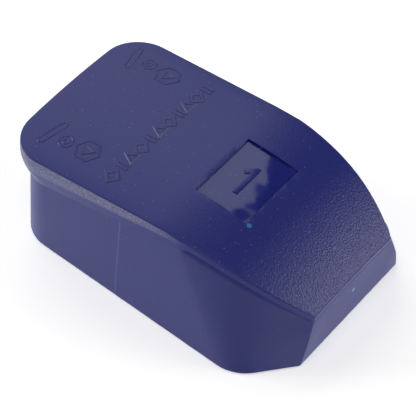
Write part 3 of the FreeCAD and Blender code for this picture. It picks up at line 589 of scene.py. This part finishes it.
def raised(path, closed, width=0.5, rise=0.1):
    """A low rib with sloping sides that stands on the top face along a path."""
    points = [Vector(point) for point in path]
    last = len(points) - 1
    sections = []
    for index, point in enumerate(points):
        before = points[index - 1] if index or closed else point
        after = points[(index + 1) % len(points)] if index < last or closed else point
        along = ((point - before).normalized() + (after - point).normalized()).normalized()
        across = Vector((along.y, -along.x))
        turn = (point - before).normalized() if point != before else along
        reach = 1 / max(abs(across.dot(Vector((turn.y, -turn.x)))), 0.6)
        section = []
        for offset, lift in ((-0.5 * width - 0.2, -0.1), (-0.5 * width + 0.05, rise),
                             (0.5 * width - 0.05, rise), (0.5 * width + 0.2, -0.1)):
            spot = point + across * offset * reach
            section.append(Vector((*spot, top_z(*spot) + lift)))
        sections.append(section)
    rib = first_ring(shape, sections[0])
    start = rib
    ribs = [rib]
    for section in sections[1:] + ([sections[0]] if closed else []):
        rib = next_ring(shape, rib, section)
        ribs.append(rib)
    if not closed:
        shape.faces.new(start)
        shape.faces.new(rib)
    for rib in ribs:
        for vert in rib:
            # The rib gets a faint painted shade, and its two feet a dark painted shade line.
            vert[grain], vert[painted_crease_shade] = 0.5, 0.12
        for vert in (rib[0], rib[3]):
            vert[painted_crease_shade] = 1.0


def ringed(x, y, radius, sides, turn=0.0):
    """A closed path round a centre: a ring if it has many sides."""
    turns = [turn + math.tau * step / sides for step in range(sides)]
    return [(x + radius * math.cos(way), y + radius * math.sin(way)) for way in turns]


def bar(start, end, half, steps=5):
    """A closed path round a long bar with round ends."""
    start, end = Vector(start), Vector(end)
    lean = math.atan2(end.y - start.y, end.x - start.x)
    ends = [(start, lean + math.pi / 2), (end, lean - math.pi / 2)]
    turns = [(spot, begin + math.pi * step / steps) for spot, begin in ends for step in range(steps + 1)]
    return [spot + half * Vector((math.cos(turn), math.sin(turn))) for spot, turn in turns]


for group_x, group_y, way in ((13.2, -15.4, 1), (12.4, 16.6, -1)):
    raised(bar((group_x - 6.6, group_y - 2.6 * way), (group_x - 5.0, group_y + 3.6 * way), 0.8), True, 0.35)
    raised(ringed(group_x - 1.4, group_y, 1.7, 20), True, 0.35)
    raised(ringed(group_x - 1.4, group_y, 0.7, 12), True, 0.3)
    raised(ringed(group_x + 4.6, group_y + 0.6 * way, 3.2, 6), True, 0.35)
    raised(ringed(group_x + 4.6, group_y + 0.6 * way, 1.6, 3, 0.3), True, 0.3)
for step in range(11):
    row_y = -17.6 + 3.5 * step
    if step % 3 == 0:
        raised(ringed(27.2, row_y, 1.75, 4), True, 0.75)
    elif step % 3 == 1:
        raised([(25.8, row_y - 0.2), (28.8, row_y - 0.2)], False, 0.75)
        raised([(25.8, row_y + 1.0), (28.8, row_y + 1.0)], False, 0.75)
    else:
        raised(ringed(27.4, row_y, 1.8, 3, math.pi), True, 0.65)
cover = finished("cover_shell", shape, "lid", "cover")

grained_plastic, tree, shader, place = painted("grained_plastic", 0.45)
grained = node(tree, "Attribute", attribute_name="grain").outputs["Fac"]
polished = node(tree, "Attribute", attribute_name="polish").outputs["Fac"]
crease_shade_share = node(tree, "Attribute", attribute_name="painted_crease_shade").outputs["Fac"]
on_band = node(tree, "Attribute", attribute_name="band").outputs["Fac"]
x = node(tree, "SeparateXYZ", {0: place}).outputs[0]
shade = placed(tree, mottle, {"Place": place, "Size": 9.0, "Depth": 0.3})["Shade"]
blue = blended(tree, shade, (0.006, 0.010, 0.1), (0.012, 0.018, 0.19))
specks = placed(tree, dust, {"Place": place, "Amount": 0.65})["Mask"]
scuffed = blended(tree, specks, blue, (0.28, 0.3, 0.5))
nick_spot, lip_nick_spot, nick_radius = (19.0, -10.0, 25.0), (-6.6, -24.6, 25.2), 0.6
nick = node(tree, "VectorMath", {0: place, 1: nick_spot}, operation="DISTANCE").outputs["Value"]
lip_nick = node(tree, "VectorMath", {0: place, 1: lip_nick_spot}, operation="DISTANCE").outputs["Value"]
near_nick = sum_of(tree, "LESS_THAN", sum_of(tree, "MINIMUM", nick, lip_nick), nick_radius)
nicks = sum_of(tree, "MULTIPLY", near_nick, 0.5)
nicked = blended(tree, nicks, scuffed, (0.05, 0.35, 0.6))
# Painted highlight: the lip band is painted paler in patches, in place of light catching its grain.
band_sheen_noise = node(tree, "TexNoise", {"Vector": place, "Scale": 2.2, "Detail": 2.0}).outputs["Fac"]
band_painted_sheen = sum_of(tree, "MULTIPLY", on_band, sum_of(tree, "MULTIPLY_ADD", band_sheen_noise, 2.2, -0.4))
nicked_blue_with_painted_sheen = blended(tree, band_painted_sheen, nicked, (0.17, 0.165, 0.28))
worm = node(tree, "TexNoise", {"Vector": place, "Scale": 2.3, "Detail": 2.0}).outputs["Fac"]
# Painted highlight: the grain is painted paler towards the nose end, in place of light on the slope.
nose_painted_sheen = node(tree, "MapRange", {"Value": x, "From Min": 24.0, "From Max": 41.0,
                                  "To Min": 0.0, "To Max": 0.35}).outputs[0]
nose_sheen_on_grain = sum_of(tree, "MULTIPLY", sum_of(tree, "MULTIPLY", nose_painted_sheen, grained), worm)
nicked_blue_with_painted_sheen = blended(tree, nose_sheen_on_grain, nicked_blue_with_painted_sheen, (0.3, 0.3, 0.42))
# Painted shade: the crease layer darkens the lip's crease and the feet of the raised marks.
tree.links.new(blended(tree, sum_of(tree, "MULTIPLY", crease_shade_share, 0.9), nicked_blue_with_painted_sheen, (0.006, 0.007, 0.05)),
               shader.inputs["Base Color"])
band_grain = sum_of(tree, "MULTIPLY", on_band, grained)
toward_nose = node(tree, "MapRange", {"Value": x, "From Min": 0.0, "From Max": 38.0,
                                      "To Min": 0.12, "To Max": 0.85}).outputs[0]
pebble = node(tree, "TexVoronoi", {"Vector": place, "Scale": 2.2}, feature="SMOOTH_F1").outputs["Distance"]
coarse = sum_of(tree, "MULTIPLY", grained, sum_of(tree, "MAXIMUM", toward_nose, band_grain))
relief = sum_of(tree, "MULTIPLY", sum_of(tree, "ADD", pebble, worm), coarse)
waves = node(tree, "TexNoise", {"Vector": place, "Scale": 0.075, "Detail": 1.5}).outputs["Fac"]
wavy = sum_of(tree, "MULTIPLY", sum_of(tree, "MULTIPLY", waves, polished), 2.2)
bump = node(tree, "Bump", {"Height": sum_of(tree, "ADD", relief, wavy), "Strength": 0.5, "Distance": 0.00022})
tree.links.new(bump.outputs[0], shader.inputs["Normal"])
satin = sum_of(tree, "MULTIPLY_ADD", grained, 0.06, 0.34)
tree.links.new(sum_of(tree, "MULTIPLY_ADD", polished, -0.28, satin), shader.inputs["Roughness"])
cover.data.materials.append(grained_plastic)


def dress(name, material):
    """Give a part of the frame its material through its own slots."""
    for part_slot in nodes[name].material_slots:
        part_slot.material = material
    if not nodes[name].material_slots:
        nodes[name].data.materials.append(material)


plate_plastic, tree, shader, place = painted("plate_plastic", 0.5)
shade = placed(tree, mottle, {"Place": place, "Size": 6.0, "Depth": 0.5})["Shade"]
scuffs = placed(tree, dust, {"Place": place, "Amount": 0.45})["Mask"]
blue = blended(tree, shade, (0.008, 0.011, 0.07), (0.02, 0.024, 0.13))
tree.links.new(blended(tree, scuffs, blue, (0.2, 0.22, 0.36)), shader.inputs["Base Color"])
fine = node(tree, "TexNoise", {"Vector": place, "Scale": 2.6, "Detail": 3.0}).outputs["Fac"]
bump = node(tree, "Bump", {"Height": fine, "Strength": 0.3, "Distance": 0.0001})
tree.links.new(bump.outputs[0], shader.inputs["Normal"])
dress("base_plate", plate_plastic)

# ---------------------------------------------------------------------------------------------------------
# Screws, pot and magnet. Four zinc-plated countersunk screws hold the base plate. A drawn steel pot sits in
# the base plate's boss and holds the nickel-plated disc magnet.
# ---------------------------------------------------------------------------------------------------------
for name, part, colour, dark, roughness, stretch in (
        ("screw_steel", "base_screws", (0.62, 0.63, 0.66), (0.35, 0.36, 0.4), 0.32, (1, 1, 6)),
        ("pot_steel", "magnet_pot", (0.5, 0.5, 0.52), (0.24, 0.22, 0.2), 0.38, (1, 1, 9)),
        ("magnet_plating", "magnet", (0.74, 0.73, 0.7), (0.5, 0.48, 0.45), 0.16, (1, 5, 1))):
    metal, tree, shader, place = painted(name, roughness, 1.0)
    drawn = node(tree, "Mapping", {"Vector": place, "Scale": stretch}).outputs[0]
    streak = node(tree, "TexNoise", {"Vector": drawn, "Scale": 0.9, "Detail": 5.0}).outputs["Fac"]
    tarnish = placed(tree, mottle, {"Place": place, "Size": 2.5, "Depth": 1.2})["Shade"]
    worn = sum_of(tree, "MULTIPLY", streak, tarnish)
    tree.links.new(blended(tree, worn, dark, colour), shader.inputs["Base Color"])
    tree.links.new(sum_of(tree, "MULTIPLY_ADD", streak, 0.25, roughness - 0.1), shader.inputs["Roughness"])
    bump = node(tree, "Bump", {"Height": streak, "Strength": 0.2, "Distance": 0.00004})
    tree.links.new(bump.outputs[0], shader.inputs["Normal"])
    dress(part, metal)

# ---------------------------------------------------------------------------------------------------------
# Rubber. Two moulded sleeves grip the chalk, and four feet are stuck to the base plate. Both are black
# rubber with a dusty bloom; the sleeves also carry a trace of chalk.
# ---------------------------------------------------------------------------------------------------------
for name, parts, bloom in (("foot_rubber", ("rubber_feet",), (0.07, 0.07, 0.07)),
                           ("sleeve_rubber", ("rear_chalk_sleeve", "front_chalk_sleeve"), (0.05, 0.1, 0.15))):
    rubber, tree, shader, place = painted(name, 0.75)
    haze = placed(tree, mottle, {"Place": place, "Size": 2.0, "Depth": 1.6})["Shade"]
    tree.links.new(blended(tree, sum_of(tree, "MULTIPLY", haze, 0.4), (0.016, 0.016, 0.018), bloom),
                   shader.inputs["Base Color"])
    fine = node(tree, "TexNoise", {"Vector": place, "Scale": 4.0, "Detail": 3.0}).outputs["Fac"]
    bump = node(tree, "Bump", {"Height": fine, "Strength": 0.4, "Distance": 0.00008})
    tree.links.new(bump.outputs[0], shader.inputs["Normal"])
    for part in parts:
        dress(part, rubber)

# ---------------------------------------------------------------------------------------------------------
# Chalk and labels. Two pressed cubes of dry blue chalk, dished where a cue tip has worn them, each in a
# glued paper band with a plain blue stripe.
# ---------------------------------------------------------------------------------------------------------
chalk, tree, shader, place = painted("chalk", 0.95)
powder = placed(tree, mottle, {"Place": place, "Size": 1.1, "Depth": 1.3})["Shade"]
tree.links.new(blended(tree, sum_of(tree, "MULTIPLY", powder, 0.5), (0.06, 0.2, 0.38), (0.17, 0.42, 0.62)),
               shader.inputs["Base Color"])
pores = node(tree, "TexNoise", {"Vector": place, "Scale": 3.2, "Detail": 6.0, "Roughness": 0.7}).outputs["Fac"]
bump = node(tree, "Bump", {"Height": pores, "Strength": 0.7, "Distance": 0.00025})
tree.links.new(bump.outputs[0], shader.inputs["Normal"])

label_paper, tree, shader, place = painted("label_paper", 0.7)
z = node(tree, "SeparateXYZ", {0: place}).outputs[2]
stripe_low, stripe_high = 12.5, 16.0
stripe = sum_of(tree, "MULTIPLY", sum_of(tree, "GREATER_THAN", z, stripe_low),
                sum_of(tree, "LESS_THAN", z, stripe_high))
fibre = placed(tree, mottle, {"Place": place, "Size": 0.6, "Depth": 0.8})["Shade"]
paper = blended(tree, fibre, (0.6, 0.6, 0.55), (0.8, 0.8, 0.76))
tree.links.new(blended(tree, sum_of(tree, "MULTIPLY", stripe, 0.85), paper, (0.05, 0.16, 0.36)),
               shader.inputs["Base Color"])
bump = node(tree, "Bump", {"Height": fibre, "Strength": 0.3, "Distance": 0.00005})
tree.links.new(bump.outputs[0], shader.inputs["Normal"])
for end in ("rear", "front"):
    dress(end + "_chalk", chalk)
    dress(end + "_chalk_label", label_paper)

# ---------------------------------------------------------------------------------------------------------
# Backing pads. Two squares of closed-cell foam stuck under the cover, which keep the cubes from rattling.
# They are cut from sheet, with soft edges, and their backs follow the cover's ceiling.
# ---------------------------------------------------------------------------------------------------------
pad_foam, tree, shader, place = painted("pad_foam", 0.95)
cell = node(tree, "TexVoronoi", {"Vector": place, "Scale": 2.6}).outputs["Distance"]
tree.links.new(blended(tree, cell, (0.04, 0.04, 0.045), (0.11, 0.11, 0.12)), shader.inputs["Base Color"])
bump = node(tree, "Bump", {"Height": cell, "Strength": 0.8, "Distance": 0.0002})
tree.links.new(bump.outputs[0], shader.inputs["Normal"])
for end in ("rear", "front"):
    pad_low, pad_high = (Vector(corner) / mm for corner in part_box(end + "_backing_pad"))
    middle_of_pad, pad_size = (pad_low + pad_high) / 2, pad_high - pad_low
    middle_of_pad.x += middle
    shape = bmesh.new()
    bmesh.ops.create_cube(shape, size=1)
    bmesh.ops.scale(shape, verts=shape.verts, vec=pad_size * 0.995)
    bmesh.ops.bevel(shape, geom=list(shape.edges), offset=0.22 * pad_size.z, segments=3, profile=0.5,
                    affect="EDGES", material=-1)
    bmesh.ops.subdivide_edges(shape, edges=[edge for edge in shape.edges if edge.calc_length() > 5], cuts=12,
                              use_grid_fill=True)
    bmesh.ops.translate(shape, verts=shape.verts, vec=middle_of_pad)
    for vert in shape.verts:
        ceiling = top_z(vert.co.x, vert.co.y) - cover_wall - 0.05
        share = (vert.co.z - pad_low.z) / pad_size.z
        vert.co.z = pad_low.z + share * (min(ceiling, pad_high.z) - pad_low.z)
    pad = finished(end + "_backing_pad_foam", shape, "lid", end + "_backing_pad", sharp=60)
    pad.data.materials.append(pad_foam)
